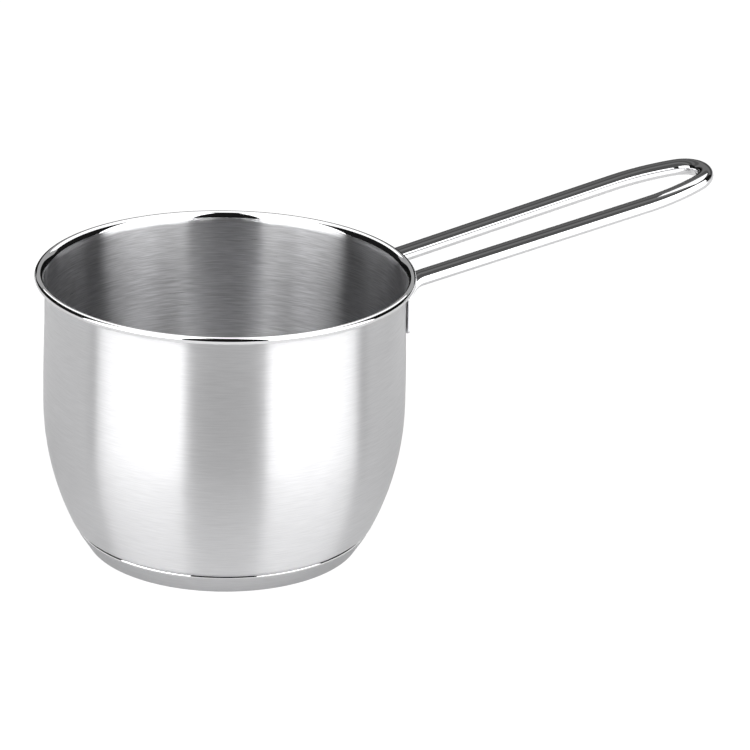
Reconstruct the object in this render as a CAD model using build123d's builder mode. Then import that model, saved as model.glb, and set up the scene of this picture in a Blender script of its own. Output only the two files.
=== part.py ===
from build123d import *
import math
import os

# A small stainless steel saucepan with a welded wire-loop handle, in millimetres.
# The pan's axis is Z, its foot stands on Z = 0 and the handle points along +X.
os.makedirs("parts", exist_ok=True)

# Pan shell: one deep-drawn sheet with a belly below and a pouring rim above
pan_height = 110.5
shell_sheet = 0.8
mouth_outer_radius = 69.2
belly_swell = 0.8
belly_height = 58.0
belly_curve_radius = 111.0
shell_corner_radius = 2.5

# Pouring rim: the wall flares outwards, then the sheet rolls over a narrow crest and back under
rim_overhang = 3.8
rim_flare_radius = 4.0
rim_curl_radius = 1.45
rim_crest_width = 0.3
rim_return_length = 1.2

# Sandwich base: a steel cap with tapered sides, pressed round an aluminium disc
base_height = 9.0
cap_sheet = 0.6
cap_overhang = 1.65
cap_taper_width = 5.7
cap_foot_round = 1.2
cap_lip_round = 0.9
cap_lip_width = 2.8
core_side_gap = 0.2

# Handle: one rod bent into a long loop that rises away from the pan
rod_diameter = 6.5
handle_root_drop = 9.1
handle_rise_angle = 11.1
limb_spacing_at_pan = 25.3
limb_spacing_at_shoulder = 29.4
limb_length = 105.0
shoulder_radius = 75.0
shoulder_turn_angle = 20.6

# Handle ends: each is bent down under the rim and pressed flat against the wall
neck_bend_radius = 8.0
tab_length = 13.5
tab_width_at_bend = 10.0
tab_width_at_end = 10.8
tab_thickness_at_bend = 2.4
tab_thickness_at_end = 1.6
tab_corner_radius = 2.5
tab_wall_clearance = 0.05
face_corner_angle = 60.0
bend_step_count = 6

# Weld nuggets: two under each flattened end
weld_diameter = 4.0
weld_inset = 2.2
weld_edge_distance = 3.6
weld_spacing = 6.4

# How far a cut runs past the piece that it shapes
cut_overrun = 1.0

# Places worked out for the shell's faces
belly_outer_radius = mouth_outer_radius + belly_swell
belly_center_radius = belly_outer_radius - belly_curve_radius
corner_center_height = base_height + shell_corner_radius
corner_span = belly_curve_radius - shell_corner_radius
belly_turn = math.asin((belly_height - corner_center_height) / corner_span)
belly_turn_angle = math.degrees(belly_turn)
corner_center_radius = belly_center_radius + corner_span * math.cos(belly_turn)
curl_center_height = pan_height - rim_curl_radius
crest_end_radius = mouth_outer_radius + rim_overhang - rim_curl_radius
crest_start_radius = crest_end_radius - rim_crest_width
curl_end_radius = crest_end_radius - rim_return_length
flare_center_radius = mouth_outer_radius + rim_flare_radius
flare_span = rim_flare_radius - rim_curl_radius + shell_sheet
flare_turn = math.acos((flare_center_radius - crest_start_radius) / flare_span)
flare_turn_angle = math.degrees(flare_turn)
flare_start_height = curl_center_height - flare_span * math.sin(flare_turn)

# Places that follow the shell: the cap's tapered side and the height of the handle's root
cap_shoulder_radius = corner_center_radius + cap_overhang
cap_foot_radius = cap_shoulder_radius - cap_taper_width
handle_root_height = pan_height - handle_root_drop


def wall_face(inset):
    """Draw one face of the pan's wall, from the axis up to the flare, inside the outer face by inset."""
    floor_height = base_height + inset
    foot = (belly_outer_radius - inset, belly_height)
    middle = ((mouth_outer_radius + belly_outer_radius) / 2 - inset, (belly_height + flare_start_height) / 2)
    top = (mouth_outer_radius - inset, flare_start_height)
    corner_center = (corner_center_radius, corner_center_height)
    belly_center = (belly_center_radius, belly_height)
    Line((0, floor_height), (corner_center_radius, floor_height))
    CenterArc(corner_center, shell_corner_radius - inset, -90, 90 - belly_turn_angle)
    CenterArc(belly_center, belly_curve_radius - inset, -belly_turn_angle, belly_turn_angle)
    lower_lean = TangentArc(foot, middle, tangent=(0, 1))
    TangentArc(middle, top, tangent=lower_lean % 1)


def rim_face(inset):
    """Draw one face of the flared and rolled rim, on from the wall's, and return its end point."""
    radius = rim_curl_radius - shell_sheet + inset
    crest = curl_center_height + radius
    underside = curl_center_height - radius
    flare_end_angle = 180 - flare_turn_angle
    CenterArc((flare_center_radius, flare_start_height), rim_flare_radius + inset, 180, -flare_turn_angle)
    CenterArc((crest_start_radius, curl_center_height), radius, flare_end_angle, 90 - flare_end_angle)
    Line((crest_start_radius, crest), (crest_end_radius, crest))
    CenterArc((crest_end_radius, curl_center_height), radius, 90, -180)
    return Line((crest_end_radius, underside), (curl_end_radius, underside)) @ 1


def wall_radius(height):
    """Give about the wall's outer radius between the belly and the flare."""
    climb = (height - belly_height) / (flare_start_height - belly_height)
    lean = climb * climb * (3 - 2 * climb)
    return belly_outer_radius + (mouth_outer_radius - belly_outer_radius) * lean


with BuildPart() as pan_body:
    with BuildSketch(Plane.XZ):
        with BuildLine():
            wall_face(0)
            outer_end = rim_face(0)
            wall_face(shell_sheet)
            inner_end = rim_face(shell_sheet)
            Line((0, base_height), (0, base_height + shell_sheet))
            Line(outer_end, inner_end)
        make_face()
    revolve(axis=Axis.Z)
pan_body.part.label = "pan_body"
export_step(pan_body.part, "parts/pan_body.step")

# The space that the pan fills, for cutting pieces that meet its wall
with BuildPart() as pan_envelope:
    with BuildSketch(Plane.XZ):
        with BuildLine():
            wall_face(0)
            Polyline((mouth_outer_radius, flare_start_height), (0, flare_start_height), (0, base_height))
        make_face()
    revolve(axis=Axis.Z)


def cap_side_radius(height):
    """Give the radius of the cap's tapered outer face at a height."""
    return cap_foot_radius + (cap_shoulder_radius - cap_foot_radius) * height / base_height


with BuildPart() as base_cap:
    with BuildSketch(Plane.XZ):
        with BuildLine():
            FilletPolyline(
                (0, 0),
                (cap_foot_radius, 0),
                (cap_shoulder_radius, base_height),
                (cap_shoulder_radius - cap_lip_width, base_height),
                radius=[cap_foot_round, cap_lip_round],
            )
            offset(amount=cap_sheet, side=Side.LEFT)
        make_face()
    revolve(axis=Axis.Z)
base_cap.part.label = "base_cap"
export_step(base_cap.part, "parts/base_cap.step")

# The aluminium disc lies between the cap's floor and the shell's, clear of the tapered side
cap_taper = math.atan((cap_shoulder_radius - cap_foot_radius) / base_height)
core_side_inset = (cap_sheet + core_side_gap) / math.cos(cap_taper)
core_shoulder_height = base_height - cap_sheet - core_side_gap
core_neck_radius = cap_shoulder_radius - cap_lip_width - core_side_gap

with BuildPart() as base_core:
    with BuildSketch(Plane.XZ):
        with BuildLine():
            Polyline(
                (0, cap_sheet),
                (cap_side_radius(cap_sheet) - core_side_inset, cap_sheet),
                (cap_side_radius(core_shoulder_height) - core_side_inset, core_shoulder_height),
                (core_neck_radius, core_shoulder_height),
                (core_neck_radius, base_height),
                (0, base_height),
                close=True,
            )
        core_face = make_face()
        bottom_corner = core_face.vertices().group_by(Axis.Y)[0].sort_by(Axis.X)[-1]
        fillet(bottom_corner, radius=cap_foot_round)
    revolve(axis=Axis.Z)
base_core.part.label = "base_core"
export_step(base_core.part, "parts/base_core.step")

# Directions of the loop: it rises from the pan, and its limbs spread a little on the way
rise = math.radians(handle_rise_angle)
flare = math.atan((limb_spacing_at_shoulder - limb_spacing_at_pan) / 2 / limb_length)
neck_turn = math.acos(math.sin(rise) * math.cos(flare))
neck_tangent = neck_bend_radius * math.tan(neck_turn / 2)
rod_radius = rod_diameter / 2

# The pressed ends lie against the wall at the edges that face each other
corner_turn = math.radians(face_corner_angle)
end_half_width = tab_width_at_end / 2
end_half_thickness = tab_thickness_at_end / 2
end_corner_reach = end_half_width - end_half_thickness * (1 - math.cos(corner_turn))
end_crown = end_half_thickness * (1 - math.sin(corner_turn))
tab_top_height = handle_root_height - neck_tangent
tab_bottom_height = tab_top_height - tab_length
widest_wall = max(wall_radius(tab_top_height), wall_radius(tab_bottom_height))
touching_reach = limb_spacing_at_pan / 2 - end_corner_reach
tab_back = math.sqrt(widest_wall**2 - touching_reach**2) + tab_wall_clearance - end_crown
tab_middle = tab_back + tab_thickness_at_bend / 2


def rod_outline(half_width, half_thickness):
    """Draw the rod's outline as two crowned faces and two round edges; equal halves give a circle."""
    corner_x = half_width - half_thickness * (1 - math.cos(corner_turn))
    corner_y = half_thickness * math.sin(corner_turn)
    ThreePointArc((-corner_x, corner_y), (0, half_thickness), (corner_x, corner_y))
    ThreePointArc((corner_x, corner_y), (half_width, 0), (corner_x, -corner_y))
    ThreePointArc((corner_x, -corner_y), (0, -half_thickness), (-corner_x, -corner_y))
    ThreePointArc((-corner_x, -corner_y), (-half_width, 0), (-corner_x, corner_y))


# Half of the loop, drawn in its own sloping plane from the neck to the middle of the tip
loop_plane = Plane(
    origin=(tab_middle, 0, handle_root_height),
    x_dir=(math.cos(rise), 0, math.sin(rise)),
    z_dir=(-math.sin(rise), 0, math.cos(rise)),
)
limb_start = (neck_tangent * math.cos(flare), limb_spacing_at_pan / 2 + neck_tangent * math.sin(flare))
limb_end = (limb_length, limb_spacing_at_shoulder / 2)
closing_turn = math.radians(shoulder_turn_angle) - flare
tip_start_reach = limb_end[1] - shoulder_radius * (math.cos(flare) - math.cos(closing_turn))
tip_radius = tip_start_reach / math.cos(closing_turn)
tip_turn_angle = 90 - math.degrees(closing_turn)

with BuildLine(loop_plane) as loop_path:
    limb = Line(limb_start, limb_end)
    shoulder = JernArc(limb @ 1, limb % 1, shoulder_radius, -shoulder_turn_angle)
    JernArc(shoulder @ 1, shoulder % 1, tip_radius, -tip_turn_angle)
loop_wire = Wire(loop_path.line.edges())

# Each end's path: round the bend and down the wall, in an upright plane through its limb
limb_direction = loop_wire % 0
outwards = Vector(limb_direction.X, limb_direction.Y, 0).normalized()
across = outwards.cross(Vector(0, 0, 1))
bend_plane = Plane(origin=loop_wire @ 0, x_dir=outwards, z_dir=across)
with BuildLine(bend_plane) as bend_path:
    JernArc((0, 0), (-math.sin(neck_turn), -math.cos(neck_turn)), neck_bend_radius, math.degrees(neck_turn))
bend_edge = bend_path.edge()


def pressed_section(share):
    """Give the plane and half sizes of the rod's section at a share of the bend: round, then flat."""
    pressed = share * share * (3 - 2 * share)
    half_width = rod_radius + (tab_width_at_bend / 2 - rod_radius) * pressed
    half_thickness = rod_radius + (tab_thickness_at_bend / 2 - rod_radius) * pressed
    plane = Plane(origin=bend_edge @ share, x_dir=across, z_dir=bend_edge % share)
    return plane, half_width, half_thickness


with BuildPart() as neck:
    for step in range(bend_step_count + 1):
        plane, half_width, half_thickness = pressed_section(step / bend_step_count)
        with BuildSketch(plane):
            with BuildLine():
                rod_outline(half_width, half_thickness)
            make_face()
    loft()

# Below the bend the flat end tapers on its outer side and is cut off with two round corners
tab_top_plane = pressed_section(1)[0]
tab_taper = (tab_thickness_at_bend - tab_thickness_at_end) / 2
tab_end_middle = tab_top_plane.origin - Vector(0, 0, tab_length) - outwards * tab_taper
tab_end_plane = Plane(origin=tab_end_middle, x_dir=across, z_dir=tab_top_plane.z_dir)
with BuildPart() as tab:
    with BuildSketch(tab_top_plane):
        with BuildLine():
            rod_outline(tab_width_at_bend / 2, tab_thickness_at_bend / 2)
        make_face()
    with BuildSketch(tab_end_plane):
        with BuildLine():
            rod_outline(tab_width_at_end / 2, tab_thickness_at_end / 2)
        make_face()
    loft(ruled=True)
    with BuildSketch(Plane(origin=tab_end_middle, x_dir=-across, z_dir=outwards)):
        with BuildLine():
            arc_start = (end_half_width, tab_corner_radius)
            arc_end = (end_half_width - tab_corner_radius, 0)
            RadiusArc(arc_start, arc_end, tab_corner_radius)
            Polyline(
                arc_end,
                (end_half_width - tab_corner_radius, -cut_overrun),
                (end_half_width + cut_overrun, -cut_overrun),
                (end_half_width + cut_overrun, tab_corner_radius),
                arc_start,
            )
        make_face()
        mirror(about=Plane.YZ)
    extrude(amount=tab_thickness_at_bend, both=True, mode=Mode.SUBTRACT)

with BuildPart() as handle:
    with BuildSketch(Plane(origin=loop_wire @ 0, z_dir=loop_wire % 0)):
        Circle(rod_radius)
    sweep(path=loop_wire)
    add(neck.part)
    add(tab.part)
    mirror(about=Plane.XZ)
handle.part.label = "handle"
export_step(handle.part, "parts/handle.step")

# Weld nuggets fill the gap between the flat ends and the round wall
for side_name, side in (("left", 1), ("right", -1)):
    for level_name, level in (("lower", 0), ("upper", 1)):
        weld_reach = side * (limb_spacing_at_pan / 2 - weld_inset)
        weld_height = tab_bottom_height + weld_edge_distance + weld_spacing * level
        with BuildPart() as weld:
            with BuildSketch(Plane.YZ.offset(tab_middle)):
                with Locations((weld_reach, weld_height)):
                    Circle(weld_diameter / 2)
            extrude(amount=-weld_diameter)
            add(pan_envelope.part, mode=Mode.SUBTRACT)
            add(handle.part, mode=Mode.SUBTRACT)
        weld.part.label = "weld_" + side_name + "_" + level_name
        export_step(weld.part, "parts/" + weld.part.label + ".step")
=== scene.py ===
# %% [markdown]
# # A small stainless saucepan with a wire-loop handle
#
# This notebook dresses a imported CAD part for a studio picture. The real pan is a deep-drawn
# steel shell with a rolled rim, a steel-capped aluminium base and one bent rod as its handle.
# The CAD nodes give every size and place. The cells below remake the visible pieces with
# smoother surfaces and finishes, light them and set the camera.

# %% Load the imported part
import math

import bpy
from mathutils import Matrix, Vector


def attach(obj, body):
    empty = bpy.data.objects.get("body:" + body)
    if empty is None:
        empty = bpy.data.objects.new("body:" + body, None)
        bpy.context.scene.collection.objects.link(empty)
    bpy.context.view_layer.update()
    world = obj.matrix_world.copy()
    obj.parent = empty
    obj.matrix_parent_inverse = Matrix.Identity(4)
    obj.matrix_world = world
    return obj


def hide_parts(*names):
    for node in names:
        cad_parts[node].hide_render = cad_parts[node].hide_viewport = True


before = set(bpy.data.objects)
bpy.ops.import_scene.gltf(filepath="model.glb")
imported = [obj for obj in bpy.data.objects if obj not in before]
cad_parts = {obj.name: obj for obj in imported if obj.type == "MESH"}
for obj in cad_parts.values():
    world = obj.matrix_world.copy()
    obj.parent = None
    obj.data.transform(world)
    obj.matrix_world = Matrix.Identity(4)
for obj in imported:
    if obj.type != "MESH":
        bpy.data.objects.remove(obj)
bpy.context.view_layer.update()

MILLIMETRE = 0.001

# %% [markdown]
# Blender works in metres here, while a pan maker's drawing is in millimetres. Each piece's
# sizes repeat the drawing, so that the new surface lies where its CAD node does. The shell's
# come first. One factor turns them into metres at the moment a mesh is made.

# %% The shell's sizes, in millimetres
pan_height = 110.5
shell_sheet = 0.8
mouth_outer_radius = 69.2
belly_swell = 0.8
belly_height = 58.0
belly_curve_radius = 111.0
shell_corner_radius = 2.5
rim_overhang = 3.8
rim_flare_radius = 4.0
rim_curl_radius = 1.45
rim_crest_width = 0.3
rim_return_length = 1.2
base_height = 9.0
print("pan is", pan_height, "mm high, on a base of", base_height, "mm")

# %% [markdown]
# A turned piece is fully described by its profile: half of the outline, seen from the side.
# The shell's profile is made of lines and arcs. Points are laid closer together on tight
# arcs than on long ones, because reflections in polished steel show every facet. Steps
# along lines are in millimetres, and steps along arcs in degrees.

# %% Helpers that draw a profile as points (radius, height)
LINE_STEP = 1.6


def line_points(start, end, step=LINE_STEP):
    """Points on a straight run, without its end point."""
    count = max(1, math.ceil(math.dist(start, end) / step))
    return [
        (
            start[0] + (end[0] - start[0]) * i / count,
            start[1] + (end[1] - start[1]) * i / count,
        )
        for i in range(count)
    ]


def arc_points(center, radius, start_angle, end_angle, step_angle):
    """Points on an arc in degrees, without its end point."""
    count = max(2, math.ceil(abs(end_angle - start_angle) / step_angle))
    points = []
    for i in range(count):
        turn = math.radians(start_angle + (end_angle - start_angle) * i / count)
        points.append((center[0] + radius * math.cos(turn), center[1] + radius * math.sin(turn)))
    return points


# %% Where the shell's arcs meet
belly_outer_radius = mouth_outer_radius + belly_swell
belly_center = (belly_outer_radius - belly_curve_radius, belly_height)
corner_span = belly_curve_radius - shell_corner_radius
belly_turn = math.asin((belly_height - base_height - shell_corner_radius) / corner_span)
corner_center = (
    belly_center[0] + corner_span * math.cos(belly_turn),
    base_height + shell_corner_radius,
)
curl_height = pan_height - rim_curl_radius
crest_end_radius = mouth_outer_radius + rim_overhang - rim_curl_radius
crest_start_radius = crest_end_radius - rim_crest_width
curl_end_radius = crest_end_radius - rim_return_length
flare_center_radius = mouth_outer_radius + rim_flare_radius
flare_span = rim_flare_radius - rim_curl_radius + shell_sheet
flare_turn = math.acos((flare_center_radius - crest_start_radius) / flare_span)
flare_height = curl_height - flare_span * math.sin(flare_turn)
print("the wall flares out from", round(flare_height, 1), "mm up")

# %% Helpers for arcs that lean and for crisp ends
CRISP_EDGE = 0.03
NEARLY_STRAIGHT = 1e-9


def lean_arc(start, end, heading, step=LINE_STEP):
    """Points on the arc that leaves start along heading and reaches end, and its last heading."""
    chord = (end[0] - start[0], end[1] - start[1])
    length = math.hypot(*chord)
    half_turn = math.atan2(chord[1], chord[0]) - heading
    count = max(2, math.ceil(length / step))
    points = []
    for i in range(count):
        share = i / count
        if abs(half_turn) < NEARLY_STRAIGHT:
            reach, turn = length * share, 0
        else:
            radius = length / (2 * math.sin(half_turn))
            turn = half_turn * share
            reach = 2 * radius * math.sin(turn)
        points.append((
            start[0] + reach * math.cos(heading + turn),
            start[1] + reach * math.sin(heading + turn),
        ))
    return points, heading + 2 * half_turn


def arc_end(center, radius, angle):
    """The point at an angle of an arc, in degrees."""
    turn = math.radians(angle)
    return center[0] + radius * math.cos(turn), center[1] + radius * math.sin(turn)


def with_crisp_end(points, end):
    """Add the end point, with a point close before it, so that smooth shading stops there."""
    last = points[-1]
    share = 1 - CRISP_EDGE / math.dist(last, end)
    near_end = (last[0] + (end[0] - last[0]) * share, last[1] + (end[1] - last[1]) * share)
    return points + [near_end, end]


# %% [markdown]
# The wall's profile leaves the axis along the floor, turns up round the corner, follows the
# belly and leans in to the mouth. The rim's goes on from there: it flares outwards, rolls
# over and comes back underneath. Each has two faces, one sheet apart. The buffed steel
# begins low in the flare, where both pieces end in a crisp edge.

# %% The shell's profile
CORNER_STEP = 7.5
BELLY_STEP = 0.9
FLARE_STEP = 3.0
CURL_STEP = 6.0
CREST_STEP = 0.3
OUTER_BUFF_TURN = 15.0
INNER_BUFF_TURN = 27.0


def buff_turn(inset):
    """Where the buffed part of the flare begins, on the outer or the inner face."""
    return INNER_BUFF_TURN if inset else OUTER_BUFF_TURN


def wall_profile(inset):
    """One face of the shell's wall, from the axis up to the buffed part of the flare."""
    turn = math.degrees(belly_turn)
    foot = (belly_outer_radius - inset, belly_height)
    middle = (
        (mouth_outer_radius + belly_outer_radius) / 2 - inset,
        (belly_height + flare_height) / 2,
    )
    top = (mouth_outer_radius - inset, flare_height)
    floor_height = base_height + inset
    points = line_points((0, floor_height), (corner_center[0], floor_height))
    points += arc_points(corner_center, shell_corner_radius - inset, -90, -turn, CORNER_STEP)
    points += arc_points(belly_center, belly_curve_radius - inset, -turn, 0, BELLY_STEP)
    lower, heading = lean_arc(foot, middle, math.pi / 2)
    upper, heading = lean_arc(middle, top, heading)
    flare_center = (flare_center_radius, flare_height)
    flare_radius = rim_flare_radius + inset
    buffed = 180 - buff_turn(inset)
    points += lower + upper + arc_points(flare_center, flare_radius, 180, buffed, FLARE_STEP)
    return with_crisp_end(points, arc_end(flare_center, flare_radius, buffed))


def rim_profile(inset):
    """One face of the flared and rolled rim, on from the wall's."""
    radius = rim_curl_radius - shell_sheet + inset
    turn = math.degrees(flare_turn)
    flare_center = (flare_center_radius, flare_height)
    flare_radius = rim_flare_radius + inset
    start = (crest_start_radius, curl_height)
    end = (crest_end_radius, curl_height)
    buffed = 180 - buff_turn(inset)
    flare = arc_points(flare_center, flare_radius, 180 - turn, buffed, FLARE_STEP)
    flare = with_crisp_end(flare, arc_end(flare_center, flare_radius, buffed))
    points = list(reversed(flare))
    points += arc_points(start, radius, 180 - turn, 90, CURL_STEP)[1:]
    points += line_points(
        (start[0], curl_height + radius), (end[0], curl_height + radius), CREST_STEP
    )
    points += arc_points(end, radius, 90, -90, CURL_STEP)
    points += line_points(
        (end[0], curl_height - radius), (curl_end_radius, curl_height - radius), CREST_STEP
    )
    return with_crisp_end(points, (curl_end_radius, curl_height - radius))


shell_profile = wall_profile(0) + list(reversed(wall_profile(shell_sheet)))
rim_outline = rim_profile(0) + list(reversed(rim_profile(shell_sheet)))
rim_outline.append(rim_outline[0])
print("shell profile points:", len(shell_profile), "rim outline points:", len(rim_outline))

# %% [markdown]
# The base is a thin steel cap pressed round an aluminium disc. Its side tapers inwards to
# the foot, and both of its edges are rounded. The cap is drawn once along its outer face and
# once along its inner face, so that it has the real sheet's thickness. Buffing has worn the
# lip rounder on the outside. Inside it keeps the drawing's round, close behind which the
# disc lies.

# %% The cap's sizes, in millimetres
cap_sheet = 0.6
cap_overhang = 1.65
cap_taper_width = 5.7
cap_foot_round = 1.2
cap_lip_round = 0.9
cap_lip_width = 2.8
cap_lip_buffed_round = 1.4
cap_shoulder_radius = corner_center[0] + cap_overhang
cap_foot_radius = cap_shoulder_radius - cap_taper_width
print("cap is", round(2 * cap_shoulder_radius, 1), "mm across its shoulder")

# %% A helper that rounds a corner
def rounded_corner(before, corner, after, radius, step_angle):
    """Points on the round that replaces a corner between two straight runs."""
    into = Vector(corner) - Vector(before)
    out = Vector(after) - Vector(corner)
    into.normalize()
    out.normalize()
    turn = math.atan2(into.cross(out), into.dot(out))
    reach = radius * math.tan(abs(turn) / 2)
    side = math.copysign(1, turn)
    start = Vector(corner) - into * reach
    center = start + Vector((-into.y, into.x)) * radius * side
    start_angle = math.degrees(math.atan2(start.y - center.y, start.x - center.x))
    end_angle = start_angle + math.degrees(turn)
    points = arc_points(center, radius, start_angle, end_angle, step_angle)
    end = Vector(corner) + out * reach
    return points + [(end.x, end.y)]


# %% The cap's profile
LIP_STEP = 6.0

cap_slope = Vector((cap_taper_width, base_height)).normalized()
cap_inwards = Vector((-cap_slope.y, cap_slope.x)) * cap_sheet
cap_outside = [
    (0, 0),
    (cap_foot_radius, 0),
    (cap_shoulder_radius, base_height),
    (cap_shoulder_radius - cap_lip_width, base_height),
]


def cap_corner(height):
    """A corner of the cap's inner face: where its tapered side reaches a height."""
    along = (height - cap_inwards.y) / cap_slope.y
    return (cap_foot_radius + cap_inwards.x + cap_slope.x * along, height)


cap_inside = [
    (0, cap_sheet),
    cap_corner(cap_sheet),
    cap_corner(base_height - cap_sheet),
    (cap_shoulder_radius - cap_lip_width, base_height - cap_sheet),
]


def cap_face(corners, foot_round, lip_round):
    """One face of the cap, from the axis out to the foot and up to the lip."""
    foot = rounded_corner(corners[0], corners[1], corners[2], foot_round, LIP_STEP)
    lip = rounded_corner(corners[1], corners[2], corners[3], lip_round, LIP_STEP)
    points = line_points(corners[0], foot[0]) + foot[:-1]
    points += line_points(foot[-1], lip[0]) + lip[:-1]
    return points + line_points(lip[-1], corners[3], CREST_STEP) + [corners[3]]


cap_profile = cap_face(cap_outside, cap_foot_round, cap_lip_buffed_round)
cap_profile += list(reversed(
    cap_face(cap_inside, cap_foot_round - cap_sheet, cap_lip_round - cap_sheet)
))
print("cap profile points:", len(cap_profile))

# %% [markdown]
# Geometry Nodes suit pieces whose shape follows a rule. A tree is a small program: it takes
# a geometry and named sizes and gives back a mesh. The helpers below make a tree, add nodes
# to it, run it on a piece's guide line and keep the result as a plain mesh.

# %% Helpers that build and run a node tree
def make_tree(name, input_specs):
    """A Geometry Nodes tree with a geometry input, named inputs and a geometry output."""
    tree = bpy.data.node_groups.new(name, "GeometryNodeTree")
    tree.interface.new_socket("Guide", in_out="INPUT", socket_type="NodeSocketGeometry")
    for label, kind in input_specs:
        tree.interface.new_socket(label, in_out="INPUT", socket_type="NodeSocket" + kind)
    tree.interface.new_socket("Piece", in_out="OUTPUT", socket_type="NodeSocketGeometry")
    return tree, tree.nodes.new("NodeGroupInput").outputs


def add_node(tree, kind, settings=None, **inputs):
    """Add a node; a socket given for an input is linked, and any other value is written.

    An input goes by its name, or by the letter s and its number.
    """
    node = tree.nodes.new(kind)
    for name, value in (settings or {}).items():
        setattr(node, name, value)
    for name, value in inputs.items():
        numbered = name[1:].isdigit()
        socket = node.inputs[int(name[1:]) if numbered else name.replace("_", " ")]
        if isinstance(value, bpy.types.NodeSocket):
            tree.links.new(value, socket)
        else:
            socket.default_value = value
    return node


def calculate(tree, operation, *values):
    """A Math node's result."""
    inputs = {f"s{i}": value for i, value in enumerate(values)}
    return add_node(tree, "ShaderNodeMath", {"operation": operation}, **inputs).outputs[0]


def vector_math(tree, operation, *values):
    """A Vector Math node's result."""
    inputs = {f"s{i}": value for i, value in enumerate(values)}
    return add_node(tree, "ShaderNodeVectorMath", {"operation": operation}, **inputs).outputs[0]


def guide_mesh(name, points):
    """An open line of points as a mesh, in metres."""
    mesh = bpy.data.meshes.new(name)
    edges = [(i, i + 1) for i in range(len(points) - 1)]
    mesh.from_pydata([Vector(point) * MILLIMETRE for point in points], edges, [])
    return mesh


def signed_volume(mesh):
    """The volume a closed mesh holds; it is negative where the faces point inwards."""
    mesh.calc_loop_triangles()
    total = 0
    for triangle in mesh.loop_triangles:
        a, b, c = (mesh.vertices[i].co for i in triangle.vertices)
        total += a.dot(b.cross(c)) / 6
    return total


def run_tree(name, tree, guide, values):
    """Run the tree on the guide and return the result as a new object with a plain mesh."""
    carrier = bpy.data.objects.new(name + "_guide", guide)
    bpy.context.scene.collection.objects.link(carrier)
    modifier = carrier.modifiers.new(name, "NODES")
    modifier.node_group = tree
    for item in tree.interface.items_tree:
        if item.in_out == "INPUT" and item.name in values:
            modifier[item.identifier] = values[item.name]
    carrier.update_tag()
    depsgraph = bpy.context.evaluated_depsgraph_get()
    mesh = bpy.data.meshes.new_from_object(carrier.evaluated_get(depsgraph))
    mesh.name = name
    carrier.modifiers.clear()
    bpy.data.objects.remove(carrier)
    if signed_volume(mesh) < 0:
        mesh.flip_normals()
    piece = bpy.data.objects.new(name, mesh)
    bpy.context.scene.collection.objects.link(piece)
    volume = signed_volume(mesh) / MILLIMETRE**3
    print(name, "faces:", len(mesh.polygons), "volume in cubic mm:", round(volume))
    return piece


def close_tree(tree, grid, place, given):
    """Move the grid's vertices to their places, weld and smooth them, and add the finish."""
    unwrapped = add_node(
        tree,
        "GeometryNodeStoreNamedAttribute",
        {"data_type": "FLOAT2", "domain": "CORNER"},
        Geometry=grid.outputs["Mesh"],
        Name="UVMap",
        Value=grid.outputs["UV Map"],
    ).outputs[0]
    moved = add_node(
        tree, "GeometryNodeSetPosition", Geometry=unwrapped, Position=place
    ).outputs[0]
    welded = add_node(
        tree, "GeometryNodeMergeByDistance", Geometry=moved, Distance=given["Merge Distance"]
    ).outputs[0]
    smooth = add_node(tree, "GeometryNodeSetShadeSmooth", s0=welded).outputs[0]
    real = add_node(tree, "GeometryNodeRealizeInstances", s0=smooth).outputs[0]
    finished = add_node(tree, "GeometryNodeSetMaterial", s0=real, Material=given["Finish"])
    tree.links.new(finished.outputs[0], tree.nodes.new("NodeGroupOutput").inputs[0])
    print(tree.name, "nodes:", len(tree.nodes))


# %% [markdown]
# A lathe turns a profile about an axis. Blender's Screw modifier can do that too, but a tree
# keeps the number of steps as a named input and stores a clean unwrapping: one way round the
# pan and one way along the profile. The tree lays a flat grid, with a row of vertices for each
# profile point, and then moves each vertex to its place round the axis.

# %% The lathe tree
STEPS_ROUND = 256
WELD_DISTANCE = 0.01

lathe_tree, given = make_tree(
    "turn_a_profile",
    [("Steps Round", "Int"), ("Merge Distance", "Float"), ("Finish", "Material")],
)
profile_size = add_node(
    lathe_tree, "GeometryNodeAttributeDomainSize", Geometry=given["Guide"]
).outputs["Point Count"]
lathe_grid = add_node(
    lathe_tree,
    "GeometryNodeMeshGrid",
    Vertices_X=calculate(lathe_tree, "ADD", given["Steps Round"], 1.0),
    Vertices_Y=profile_size,
)
lathe_uv = add_node(lathe_tree, "ShaderNodeSeparateXYZ", s0=lathe_grid.outputs["UV Map"]).outputs
last_point = calculate(lathe_tree, "SUBTRACT", profile_size, 1.0)
point_share = calculate(lathe_tree, "MULTIPLY", lathe_uv[1], last_point)
point_index = calculate(lathe_tree, "ROUND", point_share)
profile_place = add_node(
    lathe_tree,
    "GeometryNodeSampleIndex",
    {"data_type": "FLOAT_VECTOR", "domain": "POINT"},
    Geometry=given["Guide"],
    Value=add_node(lathe_tree, "GeometryNodeInputPosition").outputs[0],
    Index=point_index,
).outputs[0]
profile_xyz = add_node(lathe_tree, "ShaderNodeSeparateXYZ", s0=profile_place).outputs
lathe_angle = calculate(lathe_tree, "MULTIPLY", lathe_uv[0], math.tau)
lathe_cosine = calculate(lathe_tree, "COSINE", lathe_angle)
lathe_sine = calculate(lathe_tree, "SINE", lathe_angle)
lathe_place = add_node(
    lathe_tree,
    "ShaderNodeCombineXYZ",
    X=calculate(lathe_tree, "MULTIPLY", profile_xyz[0], lathe_cosine),
    Y=calculate(lathe_tree, "MULTIPLY", profile_xyz[0], lathe_sine),
    Z=profile_xyz[2],
).outputs[0]
close_tree(lathe_tree, lathe_grid, lathe_place, given)

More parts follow.
